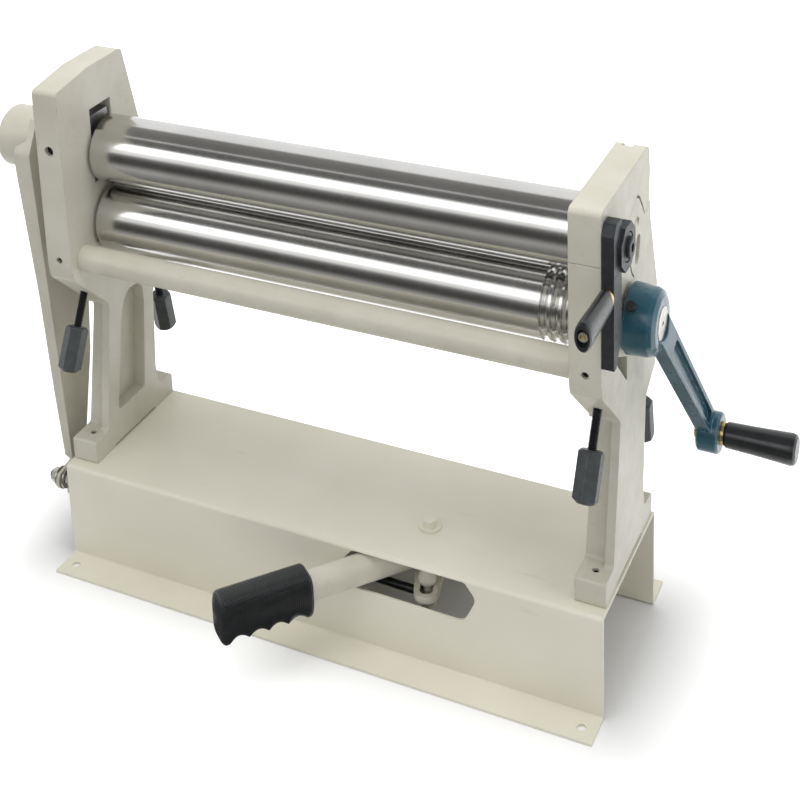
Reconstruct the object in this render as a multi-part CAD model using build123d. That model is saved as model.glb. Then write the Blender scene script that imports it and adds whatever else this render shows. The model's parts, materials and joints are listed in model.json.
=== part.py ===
from build123d import *
import math
import os

# Bench slip roll: two end frames on a bent sheet base, three rolls, a crank, a lift lever and adjusting screws.
# Millimetres. +X runs along the rolls to the crank side, +Y to the back, +Z up.
# The origin is on the floor at the centre of the base's four bolt holes.

# Driving dimensions
clear_width = 610.0
frame_thick = 34.0
frame_top_left = 631.5
frame_top_right = 592.0
roll_r = 41.0
rear_roll_r = 36.0
journal_r = 13.0
nip_gap = 7.0
base_width = 198.0
base_height = 127.0
sheet = 3.0
flange = 40.0

# Where the frames and the base end
face_x = clear_width / 2
outer_x = face_x + frame_thick
mid_x = face_x + frame_thick / 2
base_half_x = outer_x + 2.0
web_y = base_width / 2
flange_y = web_y + flange
front_y = -98.0

# Roll axes, as (y, z)
lower_axis = (-10.0, 432.0)
upper_axis = (lower_axis[0], lower_axis[1] + 2 * roll_r + nip_gap)
rear_axis = (67.5, 462.0)
roll_end_gap = 4.0
body_x = face_x - roll_end_gap

# Slots for the bearing blocks: half width, lean from upright in degrees
block_half = 20.0
rear_block_half = 15.0
block_play = 0.3
front_lean = 28.0
rear_lean = 10.5
blind_depth = 24.0

# Tilting pivot of the upper roll's left bearing, on a front-to-back axis
tilt_z = upper_axis[1] + 27.0
tilt_pin_r = 6.0

# Lift lever under the base plate, with its link to the arm outside the left frame
lever_pivot = (117.0, -31.0)
lever_z = base_height - 26.0
lever_angle = -130.0
lever_tube_half = (13.0, 19.0)
link_y = -64.0
link_pin_x = 126.5
link_pin_z = lever_z - 37.0
link_r = 5.0
arm_x = -outer_x - 33.0
arm_sheet = 4.0
arm_foot_z = link_pin_z + 14.0

# Removable cap of the right frame: parting height and rear hinge centre (y, z)
part_z = 530.0
cap_hinge = (64.0, 529.0)
knuckle_r = 9.5
cap_gap = 0.5

# Latch lever on the cap, as (y, z)
latch_pivot = (-64.0, 541.0)
latch_thick = 13.0

# Crank
crank_hub_r = 38.0
crank_end = (outer_x + 66.0, lower_axis[0] + 101.0, lower_axis[1] - 180.0)

# Tie bar across the front
tie_axis = (-70.0, 402.0)
tie_r = 16.0


def rounded(plane, corners):
    """Flat face in a plane from (a, b, radius) corners, each rounded by its radius."""
    count = len(corners)
    ends = []
    for i in range(count):
        a, b, radius = corners[i]
        here = Vector(a, b)
        to_last = (Vector(*corners[i - 1][:2]) - here).normalized()
        to_next = (Vector(*corners[(i + 1) % count][:2]) - here).normalized()
        if radius == 0:
            ends.append((here, None, here))
            continue
        half = math.acos(max(-1.0, min(1.0, to_last.dot(to_next)))) / 2
        back = radius / math.tan(half)
        bisector = (to_last + to_next).normalized()
        middle = here + bisector * (radius / math.sin(half) - radius)
        ends.append((here + to_last * back, middle, here + to_next * back))
    edges = []
    for i in range(count):
        start, middle, finish = ends[i]
        if middle is not None:
            edges.append(ThreePointArc(start, middle, finish))
        following = ends[(i + 1) % count][0]
        if (following - finish).length > 1e-6:
            edges.append(Line(finish, following))
    return plane * make_face(edges)


def slab(corners, x0, x1):
    """Plate between two X positions with a (y, z, radius) outline."""
    return extrude(rounded(Plane.YZ.offset(x0), corners), amount=x1 - x0)


def box(x0, x1, y0, y1, z0, z1):
    return Pos((x0 + x1) / 2, (y0 + y1) / 2, (z0 + z1) / 2) * Box(x1 - x0, y1 - y0, z1 - z0)


def frame_at(start, end):
    return Plane(origin=Vector(*start), z_dir=Vector(*end) - Vector(*start))


def bar(start, end, radius):
    length = (Vector(*end) - Vector(*start)).length
    return frame_at(start, end) * Cylinder(radius, length, align=(Align.CENTER, Align.CENTER, Align.MIN))


def hex_bar(start, end, across_flats):
    length = (Vector(*end) - Vector(*start)).length
    outline = RegularPolygon(across_flats / 2, 6, major_radius=False)
    return frame_at(start, end) * extrude(outline, amount=length)


def turned(start, end, profile):
    """Revolved piece; profile is (distance along, radius) from start towards end."""
    points = [(0, profile[0][0])] + [(radius, along) for along, radius in profile] + [(0, profile[-1][0])]
    outline = Plane.XZ * make_face(Polyline(*points, close=True))
    return frame_at(start, end) * revolve(outline, Axis.Z)


def ring(start, end, radius, bore):
    return bar(start, end, radius) - bar(start, end, bore)


def along(point, direction, distance):
    """Point in the Y-Z plane moved a distance; direction is degrees of lean from straight up."""
    lean = math.radians(direction)
    return (point[0] + distance * math.sin(lean), point[1] + distance * math.cos(lean))


def slot_outline(centre, lean, half_width, down, up, corner):
    """Corners of a leaning slot around a centre, reaching down and up along its own direction."""
    low = along(centre, lean, -down)
    high = along(centre, lean, up)
    side_y = half_width * math.cos(math.radians(lean))
    side_z = -half_width * math.sin(math.radians(lean))
    return [
        (low[0] - side_y, low[1] - side_z, corner),
        (low[0] + side_y, low[1] + side_z, corner),
        (high[0] + side_y, high[1] + side_z, corner),
        (high[0] - side_y, high[1] - side_z, corner),
    ]


parts = {}

# Base: one sheet bent into a channel with two outward flanges
hat = [
    (-flange_y, 0, 0),
    (-web_y + sheet, 0, 5),
    (-web_y + sheet, base_height - sheet, 2),
    (web_y - sheet, base_height - sheet, 2),
    (web_y - sheet, 0, 5),
    (flange_y, 0, 0),
    (flange_y, sheet, 0),
    (web_y, sheet, 2),
    (web_y, base_height, 5),
    (-web_y, base_height, 5),
    (-web_y, sheet, 2),
    (-flange_y, sheet, 0),
]
base = slab(hat, -base_half_x, base_half_x)
window = [
    (38, base_height - 53, 9),
    (184, base_height - 55, 14),
    (199, base_height - 23, 12),
    (186, base_height - 4.5, 6),
    (50, base_height - 4.5, 6),
    (38, base_height - 19, 6),
]
base -= extrude(rounded(Plane.XZ.offset(web_y + 5), window), amount=-20)
bolt_x = base_half_x - 17.0
bolt_y = flange_y - 19.0
bolt_hole_r = 5.0
for x in (-bolt_x, bolt_x):
    for y in (-bolt_y, bolt_y):
        base -= bar((x, y, -1), (x, y, sheet + 1), bolt_hole_r)
pivot_bolt_r = 6.0
base -= bar((*lever_pivot, base_height - 10), (*lever_pivot, base_height + 1), pivot_bolt_r + 0.4)

# End frame screws, two for each frame, sunk in the ledges of its feet
ledge_z = base_height + 29.0
foot_screw_y = (-63.0, 78.0)
foot_screw_r = 3.0
foot_head_r = 3.6
foot_screws = []
for x in (-mid_x, mid_x):
    for y in foot_screw_y:
        base -= bar((x, y, base_height - 10), (x, y, base_height + 1), foot_screw_r + 0.3)
        screw = turned(
            (x, y, ledge_z - 3),
            (x, y, ledge_z - 60),
            [(0, foot_head_r - 0.4), (0.4, foot_head_r), (7, foot_head_r), (7, foot_screw_r), (42, foot_screw_r)],
        )
        screw -= hex_bar((x, y, ledge_z - 2), (x, y, ledge_z - 7), 4)
        foot_screws.append(screw)
        nut_top = base_height - sheet - 0.2
        foot_screws[-1] += hex_bar((x, y, nut_top), (x, y, nut_top - 6), 10)
parts["frame_foot_screws"] = Compound(children=foot_screws)
parts["base_channel"] = base


def frame_outline(top):
    """Side outline of an end frame, front foot first, going up the front and down the back."""
    return [
        (-83, base_height, 2),
        (-83, ledge_z, 3),
        (-55, ledge_z, 6),
        (-30, 320, 10),
        (front_y + 3, 383, 12),
        (front_y, 400, 8),
        *top,
        (109, 410, 20),
        (110, 342, 14),
        (103, 314, 9),
        (66, 294, 14),
        (58, 185, 14),
        (64, ledge_z, 5),
        (93, ledge_z, 6),
        (93, base_height, 2),
        (50, base_height, 0),
        (50, base_height + 3, 0),
        (-42, base_height + 3, 0),
        (-42, base_height, 0),
    ]


def leg_recess(x0, x1):
    """What is cut away beside the leg's flange, in front of its web and behind it."""
    front = [(-120, ledge_z, 0), (-44.5, ledge_z, 5), (-15, 311, 12), (-40, 322, 0), (-120, 322, 0)]
    back = [(120, 186, 0), (44, 186, 8), (50, 284, 10), (62, 294, 0), (120, 294, 0)]
    return slab(front, x0, x1) + slab(back, x0, x1)


def block_slots(x0, x1):
    """Slots of the lower and the rear bearing block."""
    lower = slot_outline(lower_axis, front_lean, block_half + block_play, 34, 26.5, 3)
    rear = slot_outline(rear_axis, -rear_lean, rear_block_half + block_play, 36, 34, 3)
    return slab(lower, x0, x1) + slab(rear, x0, x1)


# Adjusting screws: rod ends, below and above, then the knobs
rod_r = 5.0
knob_flats = 24.5
knob_length = 54.0
screws = {"front": (lower_axis, front_lean), "rear": (rear_axis, -rear_lean)}


def screw_point(kind, x, distance):
    centre, lean = screws[kind]
    return (x, *along(centre, lean, -distance))


def screw_bores(x):
    bores = bar(screw_point("front", x, 20), screw_point("front", x, 160), rod_r + 0.4)
    return bores + bar(screw_point("rear", x, 20), screw_point("rear", x, 190), rod_r + 0.4)


def foot_screw_bores(x):
    bores = None
    for y in foot_screw_y:
        bore = bar((x, y, 100), (x, y, ledge_z + 1), foot_screw_r + 0.3)
        bore += bar((x, y, ledge_z - 10.2), (x, y, ledge_z + 1), foot_head_r + 0.3)
        bores = bore if bores is None else bores + bore
    return bores


def tie_bores(x0, x1):
    return bar((x0, *tie_axis), (x1, *tie_axis), tie_r + 0.05)


# Left end frame
left_top = [
    (front_y, frame_top_left - 9.5, 6),
    (-34, frame_top_left, 30),
    (38.5, frame_top_left, 9),
    (64, 533, 30),
    (79, 505, 30),
]
left = slab(frame_outline(left_top), -outer_x, -face_x)
left -= leg_recess(-outer_x - 1, -face_x - 11)
pocket = [(-30, 171, 6), (30, 171, 6), (44, 290, 20), (40, 318, 18), (4, 318, 20), (-8, 290, 20)]
left -= slab(pocket, -face_x - 16, -face_x + 1)
slot_y0 = upper_axis[0] - 26.3
slot_y1 = upper_axis[0] + 17.3
upper_slot_top = tilt_z + 31.0
left -= box(-outer_x - 1, -face_x + 1, slot_y0, slot_y1, upper_axis[1] - 36, upper_slot_top)
left -= block_slots(-outer_x - 1, -face_x + 1)
left -= screw_bores(-mid_x)
left -= foot_screw_bores(-mid_x)
left -= tie_bores(-face_x - blind_depth, -face_x + 1)
left -= bar((-mid_x, front_y - 1, tilt_z), (-mid_x, 80, tilt_z), tilt_pin_r + 0.1)
left -= bar((-mid_x, front_y - 1, tie_axis[1] + 6), (-mid_x, tie_axis[0], tie_axis[1] + 6), 4)
parts["left_end_frame"] = left

# Right end frame: the same casting, parted for its cap
right_top = [
    (front_y, frame_top_right - 3, 7),
    (71, frame_top_right, 8),
    (76, frame_top_right - 31, 12),
    (cap_hinge[0] + knuckle_r, cap_hinge[1] + 2, 2),
    (77.5, cap_hinge[1] - 6, 2),
    (79, 505, 20),
]
whole = slab(frame_outline(right_top), face_x, outer_x)

# The parting runs level from the front, climbs to a horn and drops into the cradle of the hinge knuckle
def below_parting(gap, flank_gap, cradle_r):
    """Everything below the parting line, grown by a gap and by a wider one behind the horn."""
    corners = [
        (-200, 60, 0),
        (-200, part_z + gap, 0),
        (-22, part_z + gap, 12),
        (26 + flank_gap, part_z + 21 + gap + flank_gap * 0.4, 3),
        (35.5 + flank_gap * 0.7, part_z + 15 + flank_gap * 0.75, 8),
        (47 + flank_gap * 0.85, part_z + flank_gap * 0.55, 8),
        (54 + flank_gap * 0.6, part_z - 10.5 + gap, 2),
        (77, part_z - 5.5 + gap, 0),
        (200, part_z - 5.5 + gap, 0),
        (200, 60, 0),
    ]
    region = slab(corners, face_x - 5, outer_x + 5)
    return region - bar((face_x - 6, *cap_hinge), (outer_x + 6, *cap_hinge), cradle_r)


def around_hinge(radius, degrees):
    turn = math.radians(degrees)
    return (cap_hinge[0] + radius * math.cos(turn), cap_hinge[1] + radius * math.sin(turn))


lower_part = whole & below_parting(0, 0, knuckle_r + cap_gap)
cap = whole - below_parting(cap_gap, 3.0, knuckle_r)
cap = cap.solids().sort_by(SortBy.VOLUME)[-1]

# The cap is trimmed to its knuckle where it turns past the body's rear edge
knuckle_trim = [
    Line(around_hinge(knuckle_r, 22), around_hinge(40, 22)),
    Line(around_hinge(40, 22), around_hinge(40, -60)),
    Line(around_hinge(40, -60), around_hinge(knuckle_r, -60)),
    ThreePointArc(
        around_hinge(knuckle_r, -60), around_hinge(knuckle_r, -20), around_hinge(knuckle_r, 22)
    ),
]
cap -= extrude(Plane.YZ.offset(face_x - 5) * make_face(knuckle_trim), amount=frame_thick + 10)
seat_floor = upper_axis[1] - 24.0
cap_slot_top = 574.0
cap -= box(face_x - 1, face_x + blind_depth, slot_y0, slot_y1, part_z - 5, cap_slot_top)
cap -= box(face_x + 8, face_x + 19, 60, 90, frame_top_right - 27, frame_top_right + 5)
right = lower_part.solids().sort_by(SortBy.VOLUME)[-1]
right -= box(face_x - 1, face_x + blind_depth, slot_y0, slot_y1, seat_floor, part_z + 30)
right -= leg_recess(face_x - 1, outer_x - 10)
right -= block_slots(face_x - 1, face_x + blind_depth)
shaft_slot = slot_outline(lower_axis, front_lean, journal_r + 1.5, 26, 22, journal_r)
right -= slab(shaft_slot, face_x, outer_x + 1)
right -= screw_bores(mid_x)
right -= foot_screw_bores(mid_x)
right -= tie_bores(face_x - 1, face_x + blind_depth)
right -= bar((mid_x, front_y - 1, tie_axis[1] + 6), (mid_x, tie_axis[0], tie_axis[1] + 6), 4)

# Window below the crank hub, then the curved groove and the shallow marks on the outer face
right -= slab([(-46, 404, 2), (-7, 384, 2), (-7, 354, 2), (-42, 391, 2)], outer_x - 24, outer_x + 1)
arc_centre = (lower_axis[0] + 48.5, lower_axis[1] + 61)
arc_groove = ring((outer_x - 4, *arc_centre), (outer_x + 1, *arc_centre), 37.3, 34.8)
arc_part = [(*arc_centre, 0), (29, 530, 0), (-10, 530, 0), (-10, 455, 0), (11, 455, 0)]
right -= arc_groove & slab(arc_part, outer_x - 5, outer_x + 2)
right -= slab([(27, 526, 1), (37, 524, 1), (31, 515, 1)], outer_x - 2.5, outer_x + 1)
oval_centre = (lower_axis[0] + 40, lower_axis[1] + 58)
right -= slab(slot_outline(oval_centre, 15, 7.5, 16, 16, 7.2), outer_x - 4, outer_x + 1)
latch_bolt_r = 6.0
cap -= bar((outer_x - 30, *latch_pivot), (outer_x + 1, *latch_pivot), latch_bolt_r + 0.05)
parts["right_end_frame"] = right
parts["right_frame_cap"] = cap

# Tie bar and the screws that hold it, sunk in the frames' front faces
parts["front_tie_bar"] = turned(
    (-face_x - blind_depth + 0.5, *tie_axis),
    (0, *tie_axis),
    [
        (0, tie_r - 2),
        (2, tie_r),
        (2 * (face_x + blind_depth) - 3, tie_r),
        (2 * (face_x + blind_depth) - 1, tie_r - 2),
    ],
)
tie_screws = []
tie_screw_r = 3.9
tie_screw_rise = 6.0
for x in (-mid_x, mid_x):
    z = tie_axis[1] + tie_screw_rise
    end = tie_axis[0] - math.sqrt(tie_r**2 - (tie_screw_rise - tie_screw_r) ** 2) - 0.1
    screw = bar((x, front_y + 5, z), (x, end, z), tie_screw_r)
    tie_screws.append(screw - hex_bar((x, front_y + 4, z), (x, front_y + 8, z), 3.5))
parts["tie_bar_screws"] = Compound(children=tie_screws)

# Rolls: polished bodies with turned journals
body_length = 2 * body_x
journal_left_x = -outer_x - 104.0


def roll(axis, left_end, right_end, radius, shaft_r, groove_positions):
    """Roll turned about X, with wire grooves at the given distances from its right end."""
    steps = [(0, shaft_r - 1), (1, shaft_r)]
    body_start = -body_x - left_end
    steps += [(body_start - 1, shaft_r), (body_start - 1, shaft_r + 4), (body_start, shaft_r + 4)]
    steps += [(body_start, radius - 1.5), (body_start + 1.5, radius)]
    for distance in sorted(groove_positions, reverse=True):
        centre = body_start + body_length - distance
        for step in range(5):
            turn = math.pi * step / 4
            steps.append((centre - 4.5 * math.cos(turn), radius - 4.5 * math.sin(turn)))
    body_end = body_start + body_length
    steps += [(body_end - 1.5, radius), (body_end, radius - 1.5), (body_end, shaft_r + 4)]
    steps += [(body_end + 1, shaft_r + 4), (body_end + 1, shaft_r)]
    finish = right_end - left_end
    steps += [(finish - 1, shaft_r), (finish, shaft_r - 1)]
    return turned((left_end, *axis), (right_end, *axis), steps)


crank_hub_x0 = outer_x + 4.0
crank_hub_x1 = outer_x + 38.0
upper_end = face_x + blind_depth - 2.5
parts["upper_roll"] = roll(upper_axis, journal_left_x, upper_end, roll_r, journal_r, [])
lower_end = crank_hub_x1 - 3.5
end_screw_r = 4.0
lower_roll = roll(lower_axis, -outer_x + 2, lower_end, roll_r, journal_r, [16, 28, 40])
parts["lower_roll"] = lower_roll - bar((lower_end - 22, *lower_axis), (lower_end + 1, *lower_axis), end_screw_r + 0.05)
rear_journal_r = 10.0
rear_end = face_x + blind_depth - 1
parts["rear_roll"] = roll(rear_axis, -outer_x + 2, rear_end, rear_roll_r, rear_journal_r, [16, 28, 40])


def bearing_block(centre, lean, half_width, half_height, bore, x0, x1):
    outline = slot_outline(centre, lean, half_width, half_height, half_height, 2)
    block = slab(outline, x0, x1)
    return block - bar((x0 - 1, *centre), (x1 + 1, *centre), bore)


bore_play = 0.05
left_span = (-outer_x + 3, -face_x - 2)
right_span = (face_x + 2, face_x + blind_depth - 1)
parts["lower_bearing_left"] = bearing_block(
    lower_axis, front_lean, block_half, 19.5, journal_r + bore_play, *left_span
)
parts["lower_bearing_right"] = bearing_block(
    lower_axis, front_lean, block_half, 19.5, journal_r + bore_play, *right_span
)
parts["rear_bearing_left"] = bearing_block(
    rear_axis, -rear_lean, rear_block_half, 15, rear_journal_r + bore_play, *left_span
)
parts["rear_bearing_right"] = bearing_block(
    rear_axis, -rear_lean, rear_block_half, 15, rear_journal_r + bore_play, *right_span
)

# Upper roll's left bearing tilts on two pins; the right one is an open cradle
trunnion_outline = [
    (slot_y0 + block_play, upper_axis[1] - 28, 3),
    (slot_y1 - block_play, upper_axis[1] - 28, 3),
    (slot_y1 - block_play, tilt_z + 20, 3),
    (slot_y0 + block_play, tilt_z + 20, 3),
]
trunnion = slab(trunnion_outline, -outer_x + 4, -face_x - 3)
trunnion -= bar((-outer_x, *upper_axis), (-face_x, *upper_axis), journal_r + bore_play)
trunnion -= bar((-mid_x, slot_y0 - 1, tilt_z), (-mid_x, slot_y1 + 1, tilt_z), tilt_pin_r + 0.08)
parts["upper_bearing_left"] = trunnion
tilt_pins = [
    bar((-mid_x, front_y + 6, tilt_z), (-mid_x, slot_y0 + 12, tilt_z), tilt_pin_r),
    bar((-mid_x, slot_y1 - 12, tilt_z), (-mid_x, 56, tilt_z), tilt_pin_r),
]
parts["tilt_pins"] = Compound(children=tilt_pins)

cradle = box(
    face_x + 0.5, face_x + blind_depth - 0.5, slot_y0 + block_play, slot_y1 - block_play, seat_floor, part_z - 1
)
journal_bore = bar((face_x - 1, *upper_axis), (outer_x, *upper_axis), journal_r + bore_play)
open_top = box(
    face_x - 1,
    outer_x,
    upper_axis[0] - journal_r - bore_play,
    upper_axis[0] + journal_r + bore_play,
    upper_axis[1],
    part_z + 5,
)
parts["upper_bearing_right"] = cradle - journal_bore - open_top

# Adjusting screws and their long hexagon knobs
knob_start = {"front": 139.0, "rear": 204.0}
block_below = {"front": 19.7, "rear": 15.2}
knob_overlap = 14.0
for kind in ("front", "rear"):
    start = knob_start[kind]
    for side, x in (("left", -mid_x), ("right", mid_x)):
        rod_end = start + knob_overlap
        rod = bar(screw_point(kind, x, block_below[kind]), screw_point(kind, x, rod_end), rod_r)
        parts[f"{kind}_{side}_screw"] = rod
        top = screw_point(kind, x, start)
        bottom = screw_point(kind, x, start + knob_length)
        knob = hex_bar(top, bottom, knob_flats)
        corner_r = knob_flats / 2 * 1.19
        chamfered = turned(
            top,
            bottom,
            [(0, corner_r - 4), (3, corner_r), (knob_length - 5, corner_r), (knob_length, corner_r - 6)],
        )
        knob = knob & chamfered
        knob -= bar(top, screw_point(kind, x, rod_end + 0.5), rod_r + 0.05)
        parts[f"{kind}_{side}_knob"] = knob

# Lift arm: a tapered pressed channel outside the left frame, with a boss on the upper roll's journal
arm_front_top = (-71.6, upper_axis[1] - 21)
arm_front_foot = (-46.5, arm_foot_z + 10)
arm_outline = [
    (-52, arm_foot_z - 33, 8),
    (-27, arm_foot_z - 33, 8),
    (-16, arm_foot_z + 38, 20),
    (3.5, arm_foot_z + 143, 60),
    (30, 470, 30),
    (34, upper_axis[1] + 34, 30),
    (-52, upper_axis[1] + 41, 30),
    (-73, upper_axis[1] + 2, 20),
    (-46, arm_foot_z + 14, 4),
]
arm = slab(arm_outline, arm_x - arm_sheet, arm_x)
ear_r = 14.5
ear = bar((arm_x - arm_sheet, link_y, arm_foot_z), (arm_x, link_y, arm_foot_z), ear_r)
arm += ear + box(arm_x - arm_sheet, arm_x, link_y, -44, arm_foot_z - ear_r, arm_foot_z + ear_r)


def arm_flange(top_point, foot_point, widths):
    """Edge flange of the arm between two (y, z) points; widths are (share of the way down, width)."""
    top = Vector(0, *top_point)
    foot = Vector(0, *foot_point)
    run = (foot - top).normalized()
    inward = Vector(1, 0, 0).cross(run)
    plane = Plane(origin=(arm_x, *top_point), x_dir=(-1, 0, 0), z_dir=inward)
    length = (foot - top).length
    if plane.y_dir.dot(run) < 0:
        length = -length
    edge = [(width, length * share) for share, width in widths]
    outline = Polyline((0, 0), *edge, (0, length), close=True)
    return extrude(plane * make_face(outline), amount=arm_sheet)


arm += arm_flange(arm_front_top, arm_front_foot, [(0, 19), (0.2, 11.5), (0.5, 10), (1, 7)])
boss_length = arm_x - journal_left_x + 5.0
arm_boss = turned(
    (arm_x, *upper_axis),
    (arm_x - 200, *upper_axis),
    [(0, 41), (3, 39.5), (boss_length - 10, 39), (boss_length - 4, 37), (boss_length - 1, 33.5), (boss_length, 31)],
)
arm_hub = bar((arm_x + 27, *upper_axis), (arm_x, *upper_axis), 25)
arm_sleeve = bar((arm_x + 25, *upper_axis), (-outer_x + 4, *upper_axis), 16.5)
arm = arm + arm_boss + arm_hub + arm_sleeve
arm -= bar((-face_x, *upper_axis), (journal_left_x - 0.5, *upper_axis), journal_r + bore_play)
link_play = link_r + 0.9
for rise in (-0.6, 2.6):
    arm -= bar((arm_x + 5, link_y, arm_foot_z + rise), (arm_x - 10, link_y, arm_foot_z + rise), link_play)
arm -= box(arm_x - 10, arm_x + 5, link_y - link_play, link_y + link_play, arm_foot_z - 0.6, arm_foot_z + 2.6)
parts["lift_arm"] = arm

# Link rod, from the lever's pin to the arm, with nuts and washers on both sides of the arm
link_end_x = arm_x - 20.0
slope = (arm_foot_z - link_pin_z) / (arm_x - link_pin_x)


def link_point(x):
    return (x, link_y, link_pin_z + slope * (x - link_pin_x))


eye_r = 12.0
link_pin_r = 5.0
link = bar(link_point(link_pin_x - eye_r + 2), link_point(link_end_x), link_r)
link += bar((link_pin_x, link_y, link_pin_z - 5), (link_pin_x, link_y, link_pin_z + 5), eye_r)
link -= bar((link_pin_x, link_y, link_pin_z - 8), (link_pin_x, link_y, link_pin_z + 8), link_pin_r + 0.05)
parts["link_rod"] = link
link_nuts = []
for side in (-1, 1):
    face = arm_x + 2.0 if side > 0 else arm_x - arm_sheet - 2.0
    washer = ring(link_point(face), link_point(face + side * 2.5), 13, link_r + 0.02)
    near = link_point(face + side * 2.5)
    far = link_point(face + side * 10.5)
    nut = hex_bar(near, far, 17) - bar(near, far, link_r + 0.02)
    link_nuts += [washer, nut]
parts["link_nuts"] = Compound(children=link_nuts)

# Pin through the link's eye, captive in the lever's slotted lug
lug_top = lever_z - 20.0
lug_bottom = lug_top - 9.0
pin_bottom = link_pin_z - 15.0
link_pin = turned(
    (link_pin_x, link_y, pin_bottom),
    (link_pin_x, link_y, base_height),
    [
        (0, link_pin_r - 1),
        (1, link_pin_r),
        (lug_top + 0.5 - pin_bottom, link_pin_r),
        (lug_top + 0.5 - pin_bottom, 10),
        (lug_top + 5 - pin_bottom, 11),
        (lug_top + 18 - pin_bottom, 7),
        (lug_top + 20 - pin_bottom, 5),
    ],
)
parts["link_pin"] = link_pin
pin_washers = []
for top, thick, radius in ((link_pin_z - 5.2, 2.4, 12), (lug_bottom - 0.4, 2.4, 9.4)):
    pin_washers.append(
        ring((link_pin_x, link_y, top), (link_pin_x, link_y, top - thick), radius, link_pin_r + 0.02)
    )
nut_top = link_pin_z - 7.8
nut = hex_bar((link_pin_x, link_y, nut_top), (link_pin_x, link_y, nut_top - 6), 15)
pin_washers.append(nut - bar((link_pin_x, link_y, nut_top + 2), (link_pin_x, link_y, nut_top - 8), link_pin_r + 0.02))
parts["link_pin_nut"] = Compound(children=pin_washers)

# Lift lever: hub on the pivot bolt, steel tube and slotted lug
turn = math.radians(lever_angle)
reach = (math.cos(turn), math.sin(turn))


def lever_point(distance, z=lever_z):
    return (lever_pivot[0] + reach[0] * distance, lever_pivot[1] + reach[1] * distance, z)


grip_start = 148.0
grip_length = 113.0
tube_end = grip_start + grip_length - 8.0
hub_r = 19.0
hub_top = base_height - 6.8


def lever_section(distance, wide, tall):
    """Oval across the lever at a distance from its pivot."""
    plane = Plane(origin=lever_point(distance), x_dir=(-reach[1], reach[0], 0), z_dir=(*reach, 0))
    return plane * Ellipse(wide, tall)


lever_tube = extrude(lever_section(0, *lever_tube_half), amount=tube_end, dir=(*reach, 0))
lever = lever_tube + bar((*lever_pivot, lug_bottom), (*lever_pivot, hub_top), hub_r)
pin_turn = math.degrees(math.atan2(link_y - lever_pivot[1], link_pin_x - lever_pivot[0]))
lug_plane = Plane(origin=(*lever_pivot, lug_bottom)) * Rot(0, 0, pin_turn)
lug_length = 62.0
lug = [(0, -17, 0), (lug_length, -13, 12), (lug_length, 13, 12), (0, 17, 0)]
lug_solid = extrude(lug_plane * rounded(Plane.XY, lug), amount=lug_top - lug_bottom)
slot = [(27.5, -7.4, 7.3), (56, -7.4, 7.3), (56, 7.4, 7.3), (27.5, 7.4, 7.3)]
lug_solid -= extrude(lug_plane * rounded(Plane.XY, slot), amount=20)
lever += lug_solid
lever -= bar((*lever_pivot, lug_bottom - 12), (*lever_pivot, base_height + 13), pivot_bolt_r + 0.06)
parts["lift_lever"] = lever

# Pivot bolt through the base plate, with washer on top and nut below
washer_top = base_height + 2.6
parts["lever_pivot_bolt"] = hex_bar((*lever_pivot, washer_top), (*lever_pivot, washer_top + 8), 14.5) + bar(
    (*lever_pivot, washer_top), (*lever_pivot, lug_bottom - 16), pivot_bolt_r
)
pivot_nuts = [
    ring((*lever_pivot, base_height + 0.1), (*lever_pivot, washer_top), 13, pivot_bolt_r + 0.02),
    ring((*lever_pivot, base_height - sheet - 0.1), (*lever_pivot, hub_top + 0.2), 15, pivot_bolt_r + 0.02),
    ring((*lever_pivot, lug_bottom - 0.3), (*lever_pivot, lug_bottom - 2.8), 15, pivot_bolt_r + 0.02),
    hex_bar((*lever_pivot, lug_bottom - 3), (*lever_pivot, lug_bottom - 12), 17)
    - bar((*lever_pivot, lug_bottom), (*lever_pivot, lug_bottom - 22), pivot_bolt_r + 0.02),
]
parts["lever_pivot_washers"] = Compound(children=pivot_nuts)

# Moulded hand grip: oval body, end lip, finger grooves below and a guard at the inner end
grip_half = (19.5, 29.0)
swells = [(0, 0.97), (4, 1.0), (50, 0.97), (grip_length - 4, 1.02), (grip_length, 0.97)]
faces = [lever_section(grip_start + at, grip_half[0] * k, grip_half[1] * k) for at, k in swells]
grip = loft(faces, ruled=False)
side = Vector(-reach[1], reach[0], 0)
finger_pitch = 23.0
finger_r = 11.5
finger_depth = 6.5
for i in range(4):
    below = lever_z - grip_half[1] + finger_depth - finger_r
    centre = Vector(*lever_point(grip_start + 20 + finger_pitch * i, below))
    grip -= bar(tuple(centre - side * 40), tuple(centre + side * 40), finger_r)
grip -= extrude(
    lever_section(grip_start - 5, lever_tube_half[0] + 0.05, lever_tube_half[1] + 0.05),
    amount=tube_end + 5.3 - grip_start,
    dir=(*reach, 0),
)
parts["lever_grip"] = grip

# Latch lever: bar with an eight-sided eye, clamped to the cap by its pivot bolt
latch_x0 = outer_x + 0.6
latch_x1 = latch_x0 + latch_thick
latch_bar = [(-100, 420, 2), (-91, 420, 2), (-74, 448, 3), (-74, 577, 4), (-92, 577, 3), (-100, 566, 3)]
latch = slab(latch_bar, latch_x0, latch_x1)
eye_plane = Plane(origin=(latch_x0, *latch_pivot), x_dir=(0, 1, 0), z_dir=(1, 0, 0))
eye_face = latch_x1 + 4.0
octagon = Rot(0, 0, 22.5) * RegularPolygon(24, 8, major_radius=False)
latch += extrude(eye_plane * octagon, amount=eye_face - latch_x0)
latch -= bar((outer_x - 5, *latch_pivot), (eye_face + 5, *latch_pivot), latch_bolt_r + 0.05)
latch -= bar((eye_face - 3, *latch_pivot), (eye_face + 5, *latch_pivot), 16)
grip_z = 500.0
latch_grip_x = (latch_x0 + latch_x1) / 2
latch -= bar((latch_grip_x, -101, grip_z), (latch_grip_x, -84, grip_z), 4.02)
parts["latch_lever"] = latch
latch_bolt_head = eye_face - 3 + 0.1
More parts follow.
